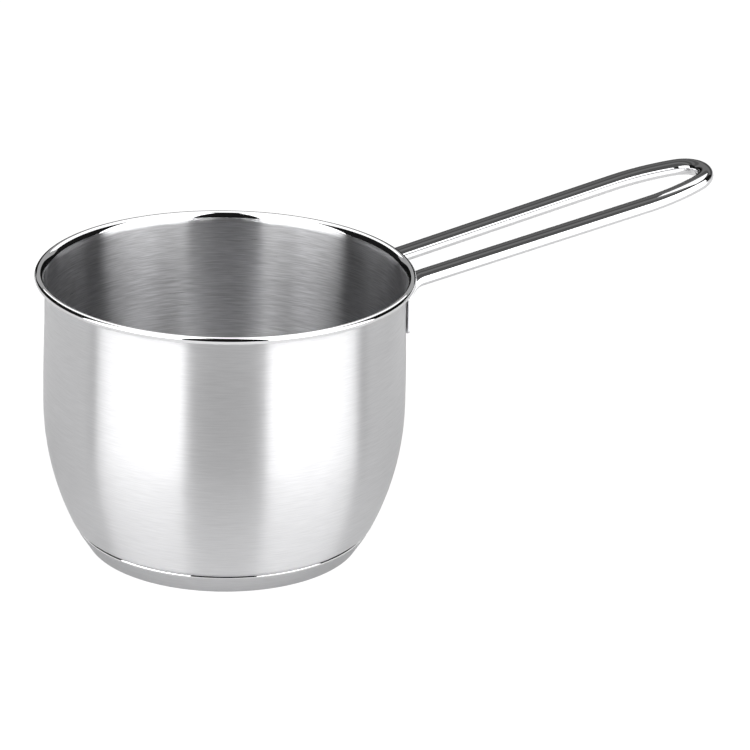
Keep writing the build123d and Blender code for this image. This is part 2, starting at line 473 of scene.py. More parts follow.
# %% [markdown]
# Stainless steel gets its look from its surface, not from a colour. The outside and inside
# of the pan are brushed on a lathe, so the scratches run round it. Brushed metal smears
# reflections across the scratches: here, up and down. The shader does this with a high
# anisotropy, turned a quarter. Noise drawn out round the pan gives the scratches: the finest
# are relief, and longer streaks shine a little more or less, as most of what the eye sees of
# a brushed face is uneven shine. The rim, the cap's lip and the handle are buffed until
# they mirror.

# %% Helpers that build a steel
def stretched_noise(tree, place, scale_round, scale_across, detail, name):
    """Noise drawn out round the axis: slow in x and y, fast in height and radius."""
    parts = add_node(tree, "ShaderNodeSeparateXYZ", s0=place).outputs
    radius = add_node(
        tree,
        "ShaderNodeVectorMath",
        {"operation": "LENGTH"},
        s0=add_node(tree, "ShaderNodeCombineXYZ", X=parts[0], Y=parts[1]).outputs[0],
    ).outputs["Value"]
    along = calculate(tree, "ADD", radius, parts[2])
    stretched = add_node(
        tree,
        "ShaderNodeCombineXYZ",
        X=calculate(tree, "MULTIPLY", parts[0], scale_round),
        Y=calculate(tree, "MULTIPLY", parts[1], scale_round),
        Z=calculate(tree, "MULTIPLY", along, scale_across),
    ).outputs[0]
    noise = add_node(tree, "ShaderNodeTexNoise", Vector=stretched, Scale=1.0, Detail=detail)
    noise.label = name
    return noise.outputs["Fac"]


def map_range(tree, value, low, high, start=0.0, end=1.0):
    """A value moved from one range to another."""
    return add_node(
        tree, "ShaderNodeMapRange", s0=value, s1=start, s2=end, s3=low, s4=high
    ).outputs[0]


def steel(name, colour, roughness, anisotropy):
    """A metal material, its tree, its shader node and the place it is drawn from."""
    material = bpy.data.materials.new(name)
    material.use_nodes = True
    tree = material.node_tree
    shader = tree.nodes["Principled BSDF"]
    shader.inputs["Base Color"].default_value = (*colour, 1)
    shader.inputs["Metallic"].default_value = 1
    shader.inputs["Roughness"].default_value = roughness
    shader.inputs["Anisotropic"].default_value = anisotropy
    place = tree.nodes.new("ShaderNodeTexCoord").outputs["Object"]
    return material, tree, shader, place


# %% Brushed steel
QUARTER_TURN = 0.25
MICROMETRE = 0.000001
FINE_ROUND = 60.0
FINE_ACROSS = 5000.0
FINE_DETAIL = 3.0
FINE_SHARE = 0.6
STREAK_ROUND = 120.0
STREAK_ACROSS = 2700.0
STREAK_DETAIL = 2.0
NOISE_RANGE = {"start": 0.3, "end": 0.7}


def brushed_steel(
    name, colour, roughness, grain, anisotropy=1.0, spread=0.03, scratch_depth=MICROMETRE
):
    """Steel brushed round the axis; its roughness varies by spread and its shine by grain."""
    material, tree, shader, place = steel(name, colour, roughness, anisotropy)
    shader.inputs["Anisotropic Rotation"].default_value = QUARTER_TURN
    tangent = add_node(tree, "ShaderNodeTangent", {"direction_type": "RADIAL", "axis": "Z"})
    tree.links.new(tangent.outputs[0], shader.inputs["Tangent"])
    fine = stretched_noise(tree, place, FINE_ROUND, FINE_ACROSS, FINE_DETAIL, "fine scratches")
    streaks = stretched_noise(
        tree, place, STREAK_ROUND, STREAK_ACROSS, STREAK_DETAIL, "longer streaks"
    )
    fine_part = calculate(tree, "MULTIPLY", fine, FINE_SHARE)
    streak_part = calculate(tree, "MULTIPLY", streaks, 1 - FINE_SHARE)
    both = calculate(tree, "ADD", fine_part, streak_part)
    matt = map_range(tree, both, roughness - spread, roughness + spread, **NOISE_RANGE)
    tree.links.new(matt, shader.inputs["Roughness"])
    shine = map_range(tree, streaks, 1 - grain, 1 + grain, **NOISE_RANGE)
    shade = add_node(
        tree, "ShaderNodeVectorMath", {"operation": "SCALE"}, s0=colour, Scale=shine
    )
    tree.links.new(shade.outputs[0], shader.inputs["Base Color"])
    relief = calculate(tree, "MULTIPLY", fine, scratch_depth)
    bump = add_node(tree, "ShaderNodeBump", Strength=1.0, Distance=1.0, Height=relief)
    tree.links.new(bump.outputs[0], shader.inputs["Normal"])
    return material


# %% Buffed steel
HAZE_SCALE = 250.0
HAZE_DETAIL = 3.0
HAZE_SPREAD = 0.3


def polished_steel(name, colour, roughness):
    """Buffed steel: a mirror with a faint haze that varies over a few millimetres."""
    material, tree, shader, place = steel(name, colour, roughness, anisotropy=0.0)
    haze = add_node(
        tree, "ShaderNodeTexNoise", Vector=place, Scale=HAZE_SCALE, Detail=HAZE_DETAIL
    ).outputs["Fac"]
    matt = map_range(tree, haze, roughness * (1 - HAZE_SPREAD), roughness * (1 + HAZE_SPREAD))
    tree.links.new(matt, shader.inputs["Roughness"])
    return material


# %% The steels of this pan
satin_steel = brushed_steel("satin_steel", (0.72, 0.72, 0.73), roughness=0.32, grain=0.05)
# The inside is the same sheet as the outside. Its darker colour is painted shade for the dim
# inside of the pan, and its coarser grain is real.
inner_steel = brushed_steel("inner_steel", (0.53, 0.53, 0.54), roughness=0.3, grain=0.18)
# The cap's darker colour is painted shade: the pan's shadow on the table by the foot, which the
# cap's side reflects.
cap_steel = brushed_steel(
    "cap_steel", (0.55, 0.55, 0.56), roughness=0.4, grain=0.06, anisotropy=0.6
)
mirror_steel = polished_steel("polished_steel", (0.88, 0.88, 0.89), roughness=0.04)
weld_steel = brushed_steel(
    "weld_steel", (0.5, 0.49, 0.48), roughness=0.45, grain=0.02, anisotropy=0.0,
    spread=0.05, scratch_depth=5 * MICROMETRE,
)
core_aluminium = brushed_steel(
    "core_aluminium", (0.75, 0.75, 0.76), roughness=0.5, grain=0.02, anisotropy=0.3,
    spread=0.05, scratch_depth=3 * MICROMETRE,
)
finishes = [m.name for m in bpy.data.materials if m.name.endswith(("steel", "aluminium"))]
print("finishes:", finishes)

# %% [markdown]
# The shell is one deep-drawn sheet. Its wall is brushed inside and out, while the flared and
# rolled rim is buffed bright. The buffed part is a piece of its own here, cut from the wall
# low in the flare, so that it can have its own finish and its own light.

# %% Helpers that turn a piece and finish a part of it
def turn_piece(name, profile, finish):
    """Turn a profile round the axis, and give the piece its main finish."""
    line = guide_mesh(name + "_profile", [(radius, 0, height) for radius, height in profile])
    values = {
        "Steps Round": STEPS_ROUND,
        "Merge Distance": WELD_DISTANCE * MILLIMETRE,
        "Finish": finish,
    }
    return run_tree(name, lathe_tree, line, values)


def add_finish(piece, material, belongs):
    """Give the faces whose middle passes the test another material."""
    piece.data.materials.append(material)
    index = len(piece.data.materials) - 1
    count = 0
    for face in piece.data.polygons:
        x, y, z = face.center / MILLIMETRE
        if belongs(math.hypot(x, y), z):
            face.material_index = index
            count += 1
    print(piece.name, material.name, "faces:", count)


# %% The pan's shell
outer_face = wall_profile(0)


def wall_outer_radius(height):
    """The wall's outer radius, read from the profile."""
    for lower, upper in zip(outer_face, outer_face[1:]):
        if lower[1] <= height <= upper[1] and upper[1] > lower[1]:
            share = (height - lower[1]) / (upper[1] - lower[1])
            return lower[0] + (upper[0] - lower[0]) * share
    return outer_face[-1][0]


def on_inside(radius, height):
    """Whether a place is on the inner face of the wall or on the floor."""
    if height < base_height + shell_corner_radius:
        floor_edge = corner_center[0] + shell_corner_radius - shell_sheet
        return height > base_height + shell_sheet / 2 and radius < floor_edge
    return radius < wall_outer_radius(height) - shell_sheet / 2


pan_shell = turn_piece("pan_shell", shell_profile, satin_steel)
# The inner faces get the darker steel: painted shade inside the pan.
add_finish(pan_shell, inner_steel, on_inside)
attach(pan_shell, "root")
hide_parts("pan_body")

# %% The pan's rim
pan_rim = turn_piece("pan_rim", rim_outline, mirror_steel)
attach(pan_rim, "root")
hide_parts("pan_body")

# %% [markdown]
# The base cap is pressed from a second sheet. Its tapered side is satin, and its rounded
# upper lip is buffed, which draws a fine bright and dark line between cap and pan.

# %% The base cap
def on_lip(radius, height):
    """Whether a place is on the outside of the cap's rounded upper edge."""
    lip_bottom = base_height - cap_lip_buffed_round
    return height > lip_bottom and radius > cap_shoulder_radius - cap_lip_width


# The cap's side gets the darker steel: painted shade from the pan's shadow on the table.
base_cap = turn_piece("base_cap_shell", cap_profile, cap_steel)
add_finish(base_cap, mirror_steel, on_lip)
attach(base_cap, "root")
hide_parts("base_cap")

# %% [markdown]
# The handle is one rod, bent into a long loop. Both of its ends turn down under the rim and
# are pressed flat against the wall. So its section changes along the way: round in the loop,
# and a rounded flat at the ends. A curve with a bevel can only grow or shrink a circle, so a
# tree does this: it lays a grid along the guide line and shapes each ring by its distance
# from the nearer end. The guide carries the direction across the rod at each point.

# %% The handle's sizes, in millimetres and degrees
rod_diameter = 6.5
handle_root_drop = 9.1
handle_rise_angle = 11.1
limb_spacing_at_pan = 25.3
limb_spacing_at_shoulder = 29.4
limb_length = 105.0
shoulder_radius = 75.0
shoulder_turn_angle = 20.6

neck_bend_radius = 8.0
tab_length = 13.5
tab_width_at_bend = 10.0
tab_width_at_end = 10.8
tab_thickness_at_bend = 2.4
tab_thickness_at_end = 1.6
tab_corner_radius = 2.5
tab_wall_clearance = 0.05
face_corner_angle = 60.0
print("loop is bent from rod of", rod_diameter, "mm")

# %% Where the handle's flat ends touch the wall
rise = math.radians(handle_rise_angle)
flare = math.atan((limb_spacing_at_shoulder - limb_spacing_at_pan) / 2 / limb_length)
neck_turn = math.acos(math.sin(rise) * math.cos(flare))
neck_tangent = neck_bend_radius * math.tan(neck_turn / 2)
handle_root_height = pan_height - handle_root_drop


def wall_radius(height):
    """About the wall's outer radius between the belly and the flare."""
    climb = (height - belly_height) / (flare_height - belly_height)
    return belly_outer_radius - belly_swell * climb * climb * (3 - 2 * climb)


corner_turn = math.radians(face_corner_angle)
end_corner_reach = tab_width_at_end / 2 - tab_thickness_at_end / 2 * (1 - math.cos(corner_turn))
end_crown = tab_thickness_at_end / 2 * (1 - math.sin(corner_turn))
tab_top_height = handle_root_height - neck_tangent
tab_bottom_height = tab_top_height - tab_length
widest_wall = max(wall_radius(tab_top_height), wall_radius(tab_bottom_height))
touching_reach = limb_spacing_at_pan / 2 - end_corner_reach
tab_back = math.sqrt(widest_wall**2 - touching_reach**2) + tab_wall_clearance - end_crown
tab_middle = tab_back + tab_thickness_at_bend / 2
print("flat ends from", round(tab_bottom_height, 1), "to", round(tab_top_height, 1), "mm up")

# %% [markdown]
# The loop lies in one plane, which slopes up from the pan. In that plane a limb is a straight
# run, the shoulder an arc that turns inwards, and the tip an arc whose middle lies on the
# pan's own plane of symmetry. So only half of the loop is worked out, and then mirrored.

# %% The loop's straight runs and arcs
loop_origin = Vector((tab_middle, 0, handle_root_height))
loop_along = Vector((math.cos(rise), 0, math.sin(rise)))
loop_left = Vector((0, 1, 0))


def in_loop(along, left):
    """A point of the loop's sloping plane."""
    return loop_origin + loop_along * along + loop_left * left


closing_turn = math.radians(shoulder_turn_angle) - flare
limb_start = (
    neck_tangent * math.cos(flare),
    limb_spacing_at_pan / 2 + neck_tangent * math.sin(flare),
)
limb_end = (limb_length, limb_spacing_at_shoulder / 2)
shoulder_center = (
    limb_end[0] + shoulder_radius * math.sin(flare),
    limb_end[1] - shoulder_radius * math.cos(flare),
)
tip_start = (
    shoulder_center[0] + shoulder_radius * math.sin(closing_turn),
    shoulder_center[1] + shoulder_radius * math.cos(closing_turn),
)
tip_radius = tip_start[1] / math.cos(closing_turn)
tip_center = (tip_start[0] - tip_radius * math.sin(closing_turn), 0)
print("tip radius in mm:", round(tip_radius, 1))

# %% The bend and the flat end
limb_direction = (loop_along * math.cos(flare) + loop_left * math.sin(flare)).normalized()
outwards = Vector((limb_direction.x, limb_direction.y, 0)).normalized()
limb_across = limb_direction.cross(Vector((0, 0, 1))).normalized() * -1
bend_start = in_loop(*limb_start)
bend_normal = limb_across.cross(limb_direction).normalized()
bend_center = bend_start + bend_normal * neck_bend_radius
tab_top = bend_center + (-outwards) * neck_bend_radius
tab_taper = (tab_thickness_at_bend - tab_thickness_at_end) / 2
tab_end = tab_top - Vector((0, 0, tab_length)) - outwards * tab_taper
print("lower end of the flat in mm:", [round(value, 1) for value in tab_end])

# %% The handle's guide line
GUIDE_STEP = 0.4
MATRIX_ROWS = 4


def turned_points(center, radius, start_turn, end_turn):
    """Points of an arc of the loop, by its turn from straight along, with the way across."""
    count = math.ceil(radius * (end_turn - start_turn) / GUIDE_STEP)
    result = []
    for i in range(count + 1):
        turn = start_turn + (end_turn - start_turn) * i / count
        sine, cosine = math.sin(turn), math.cos(turn)
        place = in_loop(center[0] + radius * sine, center[1] + radius * cosine)
        across = loop_left * cosine + loop_along * sine
        result.append((place, across))
    return result


half_guide = []
tab_count = math.ceil(tab_length / GUIDE_STEP)
for i in range(tab_count):
    half_guide.append((tab_end.lerp(tab_top, i / tab_count), limb_across))
bend_count = math.ceil(neck_bend_radius * neck_turn / GUIDE_STEP)
for i in range(bend_count):
    turn = neck_turn * i / bend_count
    arm = Matrix.Rotation(turn, MATRIX_ROWS, limb_across) @ (tab_top - bend_center)
    half_guide.append((bend_center + arm, limb_across))
limb_stop = in_loop(*limb_end)
limb_count = math.ceil((limb_stop - bend_start).length / GUIDE_STEP)
for i in range(limb_count):
    half_guide.append((bend_start.lerp(limb_stop, i / limb_count), limb_across))
half_guide += turned_points(shoulder_center, shoulder_radius, -flare, closing_turn)[:-1]
half_guide += turned_points(tip_center, tip_radius, closing_turn, math.pi / 2)
mirrored = [
    (Vector((place.x, -place.y, place.z)), Vector((across.x, -across.y, across.z)))
    for place, across in reversed(half_guide[:-1])
]
handle_guide = half_guide + mirrored
guide_length = sum(
    (handle_guide[i + 1][0] - handle_guide[i][0]).length for i in range(len(handle_guide) - 1)
)
print("rod length in mm:", round(guide_length, 1), "guide points:", len(handle_guide))

# %% [markdown]
# Three measures drive the rod's tree: how far a row is from the nearer end, how flat the rod
# is there, and where the point stands in its ring. A blend from pressed to round runs through
# the bend. One more row at each end is shrunk to a point, which closes the rod.

# %% The tree that presses a rod's ends flat
rod_tree, given = make_tree(
    "press_rod_ends",
    [
        ("Row Step", "Float"),
        ("Points Round", "Int"),
        ("Rod Radius", "Float"),
        ("Flat Length", "Float"),
        ("Bend Length", "Float"),
        ("End Half Width", "Float"),
        ("Bend Half Width", "Float"),
        ("End Half Thickness", "Float"),
        ("Bend Half Thickness", "Float"),
        ("Corner Radius", "Float"),
        ("Edge Radius", "Float"),
        ("Squareness", "Float"),
        ("Merge Distance", "Float"),
        ("Finish", "Material"),
    ],
)


def rod_math(operation, *values):
    """A Math node's result in the rod's tree."""
    return calculate(rod_tree, operation, *values)


def rod_blend(start, end, share):
    """A value on the way from start to end."""
    return rod_math("MULTIPLY_ADD", rod_math("SUBTRACT", end, start), share, start)


def rod_step(value, start, end):
    """A smooth step from zero at start to one at end."""
    share = add_node(
        rod_tree,
        "ShaderNodeMapRange",
        {"interpolation_type": "SMOOTHSTEP"},
        s0=value, s1=start, s2=end, s3=0.0, s4=1.0,
    )
    return share.outputs[0]


print(rod_tree.name, "inputs and outputs:", len(rod_tree.interface.items_tree))

# %% Rows along the rod
CLOSING_ROWS = 1.0

guide_curve = add_node(rod_tree, "GeometryNodeMeshToCurve", s0=given["Guide"]).outputs[0]
rod_length = add_node(rod_tree, "GeometryNodeCurveLength", s0=guide_curve).outputs[0]
row_count = rod_math("ROUND", rod_math("DIVIDE", rod_length, given["Row Step"]))
rod_grid = add_node(
    rod_tree,
    "GeometryNodeMeshGrid",
    Vertices_X=rod_math("ADD", row_count, 2 * CLOSING_ROWS + 1),
    Vertices_Y=rod_math("ADD", given["Points Round"], 1.0),
)
rod_uv = add_node(rod_tree, "ShaderNodeSeparateXYZ", s0=rod_grid.outputs["UV Map"]).outputs
last_row = rod_math("ADD", row_count, 2 * CLOSING_ROWS)
row = rod_math("ROUND", rod_math("MULTIPLY", rod_uv[0], last_row))
row_on_rod = rod_math("SUBTRACT", row, CLOSING_ROWS)
share_along = add_node(
    rod_tree, "ShaderNodeClamp", s0=rod_math("DIVIDE", row_on_rod, row_count)
).outputs[0]
sampled = add_node(
    rod_tree,
    "GeometryNodeSampleCurve",
    {"mode": "FACTOR", "data_type": "FLOAT_VECTOR"},
    Curves=guide_curve,
    Value=add_node(
        rod_tree, "GeometryNodeInputNamedAttribute", {"data_type": "FLOAT_VECTOR"}, Name="across"
    ).outputs[0],
    Factor=share_along,
)
nearer_end = rod_math("MINIMUM", share_along, rod_math("SUBTRACT", 1.0, share_along))
from_end = rod_math("MULTIPLY", nearer_end, rod_length)
print(rod_tree.name, "nodes up to the rows:", len(rod_tree.nodes))

# %% Half width and half thickness of a row
bend_end = rod_math("ADD", given["Flat Length"], given["Bend Length"])
roundness = rod_step(from_end, given["Flat Length"], bend_end)
flat_share = rod_math("MINIMUM", rod_math("DIVIDE", from_end, given["Flat Length"]), 1.0)


def rounded_loss(radius):
    """How much a round of that radius takes off a half size near the end."""
    left = rod_math("MAXIMUM", rod_math("SUBTRACT", radius, from_end), 0.0)
    radius_squared = rod_math("MULTIPLY", radius, radius)
    left_squared = rod_math("MULTIPLY", left, left)
    rest = rod_math("SQRT", rod_math("SUBTRACT", radius_squared, left_squared))
    return rod_math("SUBTRACT", radius, rest)


def half_size(direction, corner):
    """Half the rod's size one way: pressed and rounded at the end, then blended to round."""
    at_end, at_bend = given["End Half " + direction], given["Bend Half " + direction]
    pressed = rod_blend(at_end, at_bend, flat_share)
    rounded = rod_math("SUBTRACT", pressed, rounded_loss(given[corner]))
    return rod_blend(rounded, given["Rod Radius"], roundness)


half_width = half_size("Width", "Corner Radius")
half_thickness = half_size("Thickness", "Edge Radius")
power = rod_blend(given["Squareness"], 1.0, roundness)
print(rod_tree.name, "nodes up to the half sizes:", len(rod_tree.nodes))

# %% The ring of points of a row
HALF_ROW = 0.5

is_end = rod_math(
    "MAXIMUM",
    rod_math("LESS_THAN", row, HALF_ROW),
    rod_math("GREATER_THAN", row, rod_math("SUBTRACT", last_row, HALF_ROW)),
)
ring_size = rod_math("SUBTRACT", 1.0, is_end)
ring_angle = rod_math("MULTIPLY", rod_uv[1], math.tau)


def ring_part(function, size, direction):
    """A ring point's offset from the guide along one of the row's two directions."""
    wave = rod_math(function, ring_angle)
    strength = rod_math("POWER", rod_math("ABSOLUTE", wave), power)
    squared = rod_math("MULTIPLY", rod_math("SIGN", wave), strength)
    offset = rod_math("MULTIPLY", rod_math("MULTIPLY", squared, size), ring_size)
    return add_node(
        rod_tree, "ShaderNodeVectorMath", {"operation": "SCALE"}, s0=direction, Scale=offset
    ).outputs[0]


tangent_way = sampled.outputs["Tangent"]
across_way = vector_math(rod_tree, "NORMALIZE", sampled.outputs["Value"])
square_to_both = vector_math(rod_tree, "CROSS_PRODUCT", tangent_way, across_way)
through_way = vector_math(rod_tree, "NORMALIZE", square_to_both)
across_part = ring_part("COSINE", half_width, across_way)
through_part = ring_part("SINE", half_thickness, through_way)
ring_offset = vector_math(rod_tree, "ADD", across_part, through_part)
ring_place = vector_math(rod_tree, "ADD", sampled.outputs["Position"], ring_offset)
close_tree(rod_tree, rod_grid, ring_place, given)

# %% The handle
ROW_STEP = 0.35
POINTS_ROUND = 48
EDGE_RADIUS = 0.5
FLAT_SQUARENESS = 0.62

handle_line = guide_mesh("handle_guide", [place for place, across in handle_guide])
across_data = handle_line.attributes.new("across", "FLOAT_VECTOR", "POINT").data
for entry, (place, across) in zip(across_data, handle_guide):
    entry.vector = across
handle = run_tree(
    "wire_loop_handle",
    rod_tree,
    handle_line,
    {
        "Row Step": ROW_STEP * MILLIMETRE,
        "Points Round": POINTS_ROUND,
        "Rod Radius": rod_diameter / 2 * MILLIMETRE,
        "Flat Length": tab_length * MILLIMETRE,
        "Bend Length": neck_bend_radius * neck_turn * MILLIMETRE,
        "End Half Width": tab_width_at_end / 2 * MILLIMETRE,
        "Bend Half Width": tab_width_at_bend / 2 * MILLIMETRE,
        "End Half Thickness": tab_thickness_at_end / 2 * MILLIMETRE,
        "Bend Half Thickness": tab_thickness_at_bend / 2 * MILLIMETRE,
        "Corner Radius": tab_corner_radius * MILLIMETRE,
        "Edge Radius": EDGE_RADIUS * MILLIMETRE,
        "Squareness": FLAT_SQUARENESS,
        "Merge Distance": WELD_DISTANCE * MILLIMETRE,
        "Finish": mirror_steel,
    },
)
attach(handle, "root")
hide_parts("handle")

# %% [markdown]
# The weld nuggets and the aluminium disc hardly show, and their CAD shapes are right. They
# stay as they are and only get a finish.

# %% Finishes on the CAD nodes that stay
kept_nodes = {
    "base_core": core_aluminium,
    "weld_left_lower": weld_steel,
    "weld_left_upper": weld_steel,
    "weld_right_lower": weld_steel,
    "weld_right_upper": weld_steel,
}
for node_name, node_finish in kept_nodes.items():
    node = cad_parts[node_name]
    node.data.materials.clear()
    node.data.materials.append(node_finish)
    print(node_name, "is", node_finish.name)

# %% [markdown]
# The studio is a white table in a dark room, with soft lamps at the sides. Polished and
# brushed steel only look like steel when there is something bright and something dark for
# them to reflect. The table's paint is a plain white, which takes the pan's shadow, mixed
# with a glow of its own, which keeps the rest evenly white. In reflections the glow is
# weaker. The room behind is white to the camera and dark to the steel.

# %% The table's white
TABLE_WHITE = 0.85
SHADOW_SHARE = 0.15
MIRRORED_SHADOW_SHARE = 0.7
TABLE_GLOW = 1.13
MIRRORED_GLOW = 0.76
PURE_WHITE = (1, 1, 1, 1)

table_paint = bpy.data.materials.new("table_white")
table_paint.use_nodes = True
paint_tree = table_paint.node_tree
paint_tree.nodes.remove(paint_tree.nodes["Principled BSDF"])
plain = add_node(
    paint_tree, "ShaderNodeBsdfDiffuse", Color=(TABLE_WHITE, TABLE_WHITE, TABLE_WHITE, 1)
)
ray = paint_tree.nodes.new("ShaderNodeLightPath").outputs
glow_strength = calculate(
    paint_tree, "MULTIPLY_ADD", ray["Is Camera Ray"], TABLE_GLOW - MIRRORED_GLOW, MIRRORED_GLOW
)
glow = add_node(paint_tree, "ShaderNodeEmission", Color=PURE_WHITE, Strength=glow_strength)
seen = calculate(paint_tree, "MAXIMUM", ray["Is Camera Ray"], ray["Is Transmission Ray"])
seen_glow = calculate(paint_tree, "MULTIPLY", seen, 1 - SHADOW_SHARE)
mirrored_glow = calculate(
    paint_tree, "MULTIPLY", ray["Is Glossy Ray"], 1 - MIRRORED_SHADOW_SHARE
)
table_mix = add_node(
    paint_tree,
    "ShaderNodeMixShader",
    s0=calculate(paint_tree, "MAXIMUM", seen_glow, mirrored_glow),
    s1=plain.outputs[0],
    s2=glow.outputs[0],
)
paint_output = paint_tree.nodes["Material Output"]
paint_tree.links.new(table_mix.outputs[0], paint_output.inputs["Surface"])
print(table_paint.name, "nodes:", len(paint_tree.nodes))

# %% The table
TABLE_SIZE = 6.0


def flat_sheet(name, corners, material):
    """A flat sheet with four corners, in the scene."""
    mesh = bpy.data.meshes.new(name)
    mesh.from_pydata(corners, [], [tuple(range(len(corners)))])
    mesh.materials.append(material)
    sheet = bpy.data.objects.new(name, mesh)
    bpy.context.scene.collection.objects.link(sheet)
    print(name, "is", [round(side, 2) for side in sheet.dimensions], "m")
    return sheet


reach = TABLE_SIZE / 2
table_corners = [(-reach, -reach, 0), (reach, -reach, 0), (reach, reach, 0), (-reach, reach, 0)]
table = flat_sheet("table", table_corners, table_paint)

# %% The room
ROOM_GREY = 0.01

room = bpy.data.worlds.new("studio_room")
room.use_nodes = True
bpy.context.scene.world = room
room_tree = room.node_tree
room_tree.nodes.remove(room_tree.nodes["Background"])
dark = add_node(room_tree, "ShaderNodeBackground", Color=PURE_WHITE, Strength=ROOM_GREY)
white = add_node(room_tree, "ShaderNodeBackground", Color=PURE_WHITE, Strength=1.0)
room_ray = room_tree.nodes.new("ShaderNodeLightPath").outputs
room_mix = add_node(
    room_tree,
    "ShaderNodeMixShader",
    s0=room_ray["Is Camera Ray"],
    s1=dark.outputs[0],
    s2=white.outputs[0],
)
room_tree.links.new(room_mix.outputs[0], room_tree.nodes["World Output"].inputs["Surface"])
print(room.name, "is white to the camera and", ROOM_GREY, "to the pan")

# %% [markdown]
# The camera stands where the photographer's did: it looks down at the pan by about 21
# degrees, with the handle pointing right and a little away. Its place was worked out from
# the ellipses of the rim and the base. The camera's distance and target are in millimetres,
# like the pan's sizes.

# %% The camera
CAMERA_DISTANCE = 1400.0
CAMERA_DROP = math.radians(21.34)
CAMERA_ROLL = -0.0282
HANDLE_TURN = math.radians(25.0)
TARGET_RIGHT = 57.9955
TARGET_HEIGHT = 69.5615
CAMERA_LENS = 173.92

photo_right = Vector((math.cos(HANDLE_TURN), -math.sin(HANDLE_TURN), 0))
photo_away = Vector((math.sin(HANDLE_TURN), math.cos(HANDLE_TURN), 0))
up_axis = Vector((0, 0, 1))
look = photo_away * math.cos(CAMERA_DROP) - up_axis * math.sin(CAMERA_DROP)
level_up = photo_away * math.sin(CAMERA_DROP) + up_axis * math.cos(CAMERA_DROP)
camera_right = photo_right * math.cos(CAMERA_ROLL) - level_up * math.sin(CAMERA_ROLL)
camera_up = photo_right * math.sin(CAMERA_ROLL) + level_up * math.cos(CAMERA_ROLL)
target = photo_right * TARGET_RIGHT + up_axis * TARGET_HEIGHT
camera_place = (target - look * CAMERA_DISTANCE) * MILLIMETRE

camera_data = bpy.data.cameras.new("photo_camera")
camera_data.lens = CAMERA_LENS
camera = bpy.data.objects.new("photo_camera", camera_data)
bpy.context.scene.collection.objects.link(camera)
turning = Matrix((camera_right, camera_up, -look)).transposed()
camera.matrix_world = Matrix.Translation(camera_place) @ turning.to_4x4()
bpy.context.scene.camera = camera
print("camera at", [round(value, 3) for value in camera_place])

# %% [markdown]
# Steel shows its surroundings, so a photographer places large white panels round it and
# leaves gaps between them. Each panel draws one white band, each gap one grey or black band.
# A panel that suits the brushed wall seldom suits the mirror of the rim or the handle, and a
# catalogue picture is often put together from several exposures. Light linking does the
# same here: each lamp lights one group of pieces. A lamp is hidden from the camera. Its
# energy is worked out from how bright the panel itself should look. Distances and sizes of
# lamps are in metres, and turns and rises in degrees.

# %% Directions and groups for the lamps
def photo_direction(turn, rise_angle):
    """A direction by its angle from the camera's side, rightwards, and above the table."""
    turned, raised = math.radians(turn), math.radians(rise_angle)
    side = -photo_away * math.cos(turned) + photo_right * math.sin(turned)
    return side * math.cos(raised) + up_axis * math.sin(raised)


def lamp_group(name, pieces):
    """The pieces that a lamp lights alone."""
    group = bpy.data.collections.new(name)
    for piece in pieces:
        group.objects.link(piece)
    return group


cad_pieces = [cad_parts[node_name] for node_name in kept_nodes]
pan_only = lamp_group("lit_as_pan", [pan_shell, table] + cad_pieces)
shell_only = lamp_group("lit_as_shell", [pan_shell])
cap_only = lamp_group("lit_as_cap", [base_cap])
rim_only = lamp_group("lit_as_rim", [pan_rim])
handle_only = lamp_group("lit_as_handle", [handle])
print("lamp groups:", [g.name for g in bpy.data.collections if g.name.startswith("lit_as")])

# %% Helpers that place a lamp
BEHIND = 180


def panel(name, width, height, radiance, group):
    """A flat lamp that looks as bright as radiance says, with its size in metres."""
    data = bpy.data.lights.new(name, "AREA")
    data.shape = "RECTANGLE"
    data.size = width
    data.size_y = height
    data.energy = radiance * width * height * math.pi
    lamp = bpy.data.objects.new(name, data)
    bpy.context.scene.collection.objects.link(lamp)
    lamp.visible_camera = False
    lamp.light_linking.receiver_collection = group
    print(name, "is", round(width, 2), "by", round(height, 2), "m")
    return lamp


def aim(lamp, place, way):
    """Put a lamp at a place; way is the direction from what it lights to the lamp."""
    turned = way.to_track_quat("Z", "Y").to_matrix().to_4x4()
    lamp.matrix_world = Matrix.Translation(place) @ turned


def soft_box(name, turns, rises, distance, radiance, group):
    """An upright panel that fills a range of turns and of rises, as seen from the pan."""
    low_edge, high_edge = (distance * math.tan(math.radians(rise_angle)) for rise_angle in rises)
    width = 2 * distance * math.tan(math.radians(turns[1] - turns[0]) / 2)
    lamp = panel(name, width, high_edge - low_edge, radiance, group)
    way = photo_direction(sum(turns) / 2, 0)
    aim(lamp, way * distance + up_axis * (high_edge + low_edge) / 2, way)


def overhead_card(name, rises, half_turn, distance, radiance, group):
    """A panel over and behind the pan, square to the middle of its range of rises."""
    width = 2 * distance * math.tan(math.radians(half_turn))
    height = 2 * distance * math.tan(math.radians(rises[1] - rises[0]) / 2)
    lamp = panel(name, width, height, radiance, group)
    way = photo_direction(BEHIND, sum(rises) / 2)
    aim(lamp, way * distance, way)


def low_card(name, middle, width, depth, height, radiance, group):
    """A panel that lies just above the table and shines up."""
    lamp = panel(name, width, depth, radiance, group)
    face_up = Matrix.Rotation(math.pi, MATRIX_ROWS, "X")
    lamp.matrix_world = Matrix.Translation(Vector((*middle, height))) @ face_up


# %% Lamps for the walls
FAR_BOX = 1.6

for name, turns, rises, radiance, group in (
    ("left_soft_box", (-80, -21.2), (2, 55), 3.9, pan_only),
    ("right_soft_box", (28.5, 90), (2, 55), 3.9, pan_only),
    ("back_soft_box", (165, 195), (2, 60), 1.1, pan_only),
    ("left_side_card", (-165, -86.5), (0.5, 10), 1.8, shell_only),
    ("right_side_card", (98, 165), (0.5, 10), 1.5, shell_only),
):
    soft_box(name, turns, rises, FAR_BOX, radiance, group)

